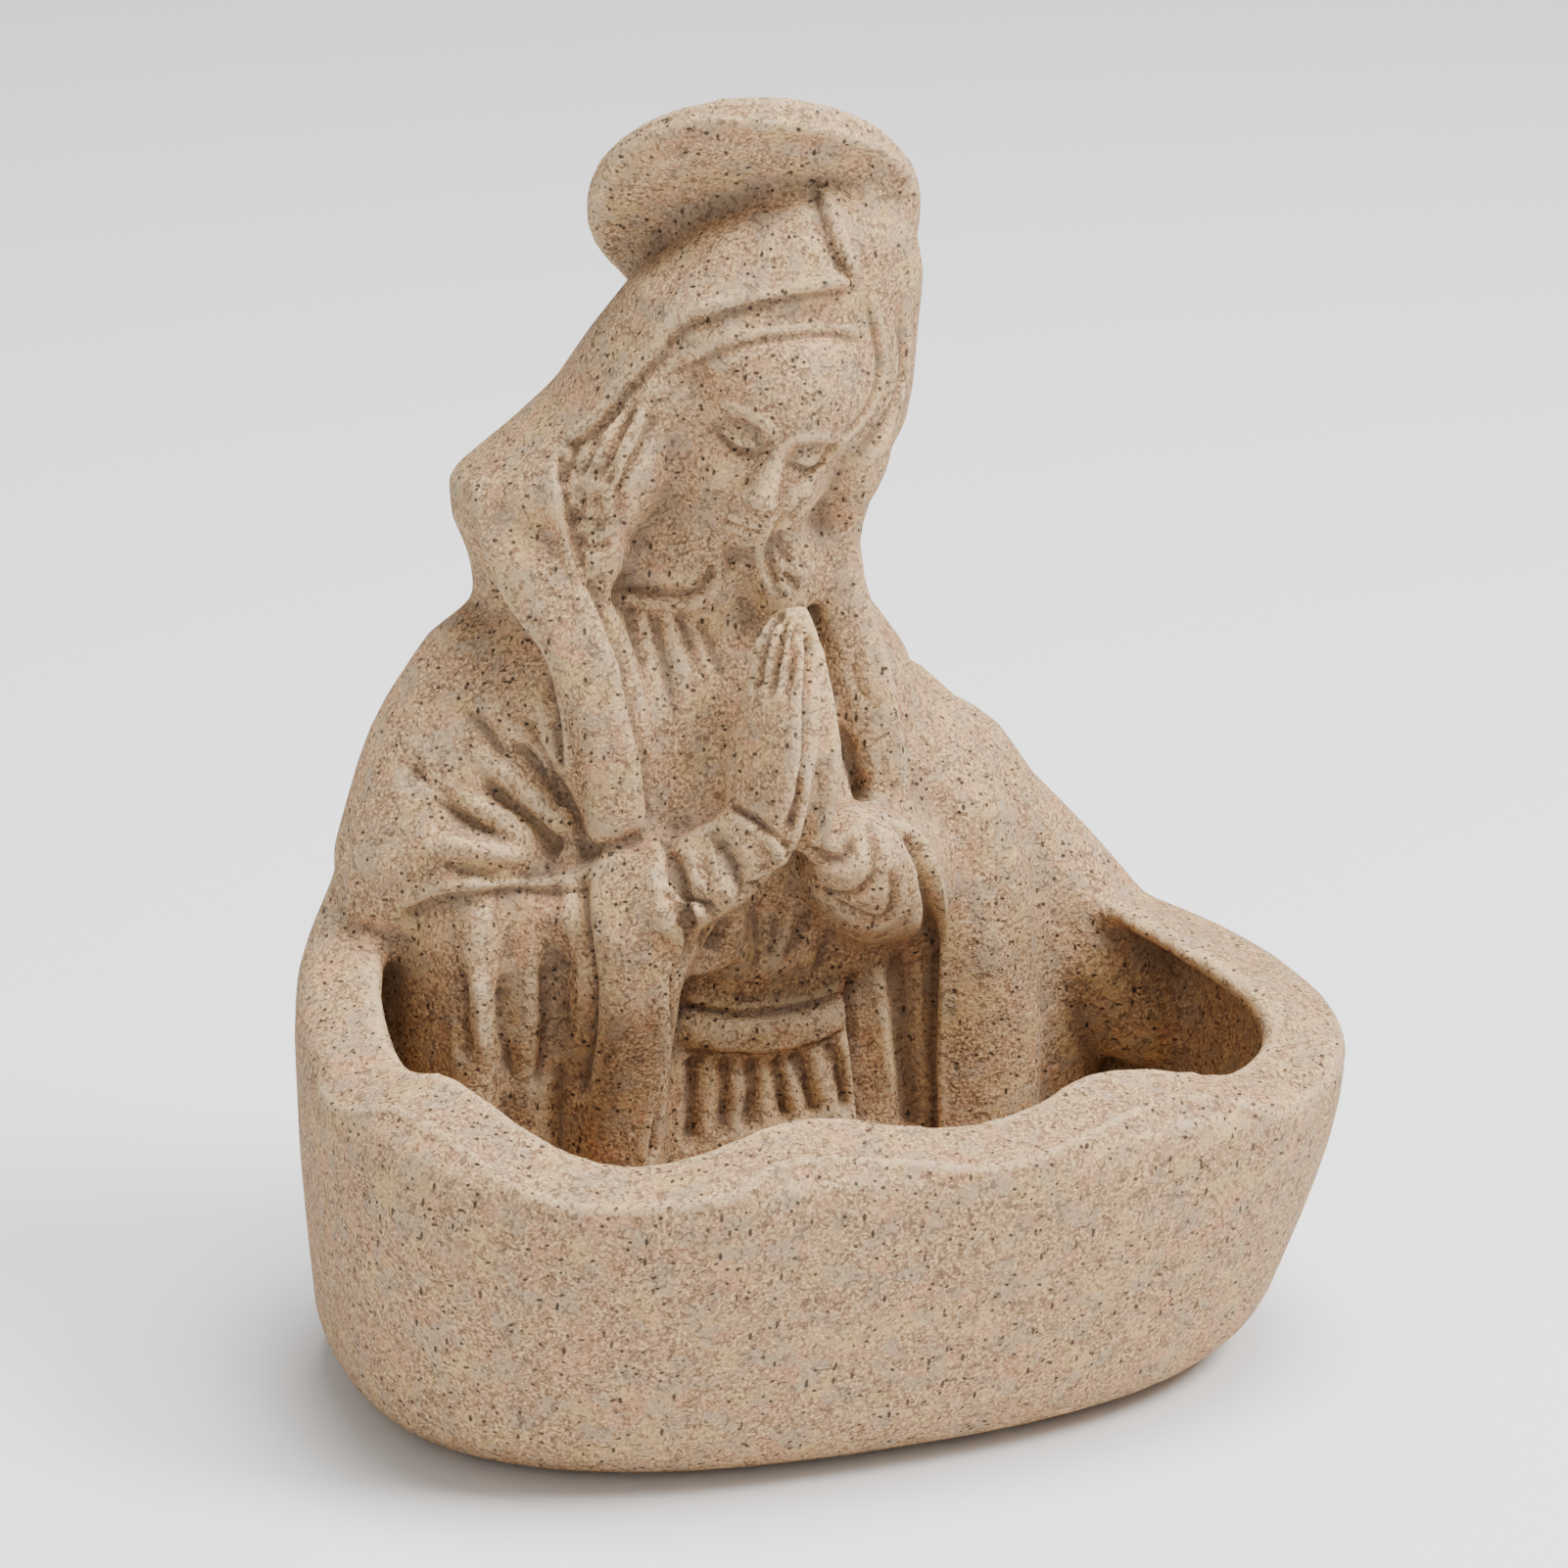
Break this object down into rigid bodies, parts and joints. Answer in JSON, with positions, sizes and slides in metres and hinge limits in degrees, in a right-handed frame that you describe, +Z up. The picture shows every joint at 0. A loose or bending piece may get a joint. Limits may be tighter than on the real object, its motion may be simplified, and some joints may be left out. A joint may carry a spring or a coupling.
{
  "type": "virgin mary statue",
  "caption": "Praying figure of the Virgin Mary in a mantle and halo, cast in one piece with a shallow open bowl with a wavy rim.",
  "frame": {"origin": "on the flat underside, below the middle of the figure", "axes": "+Z up, -Y the way the figure faces, +X the figure's left"},
  "size_m": [0.1064, 0.0789, 0.1312],
  "materials": {
    "sandstone_resin": "matte beige cast resin with a sandstone look: fine pale grains and small dark brown flecks, worn soft carving"
  },
  "bodies": {
    "root": {"virgin_mary_statue": "sandstone_resin"}
  },
  "joints": []
}
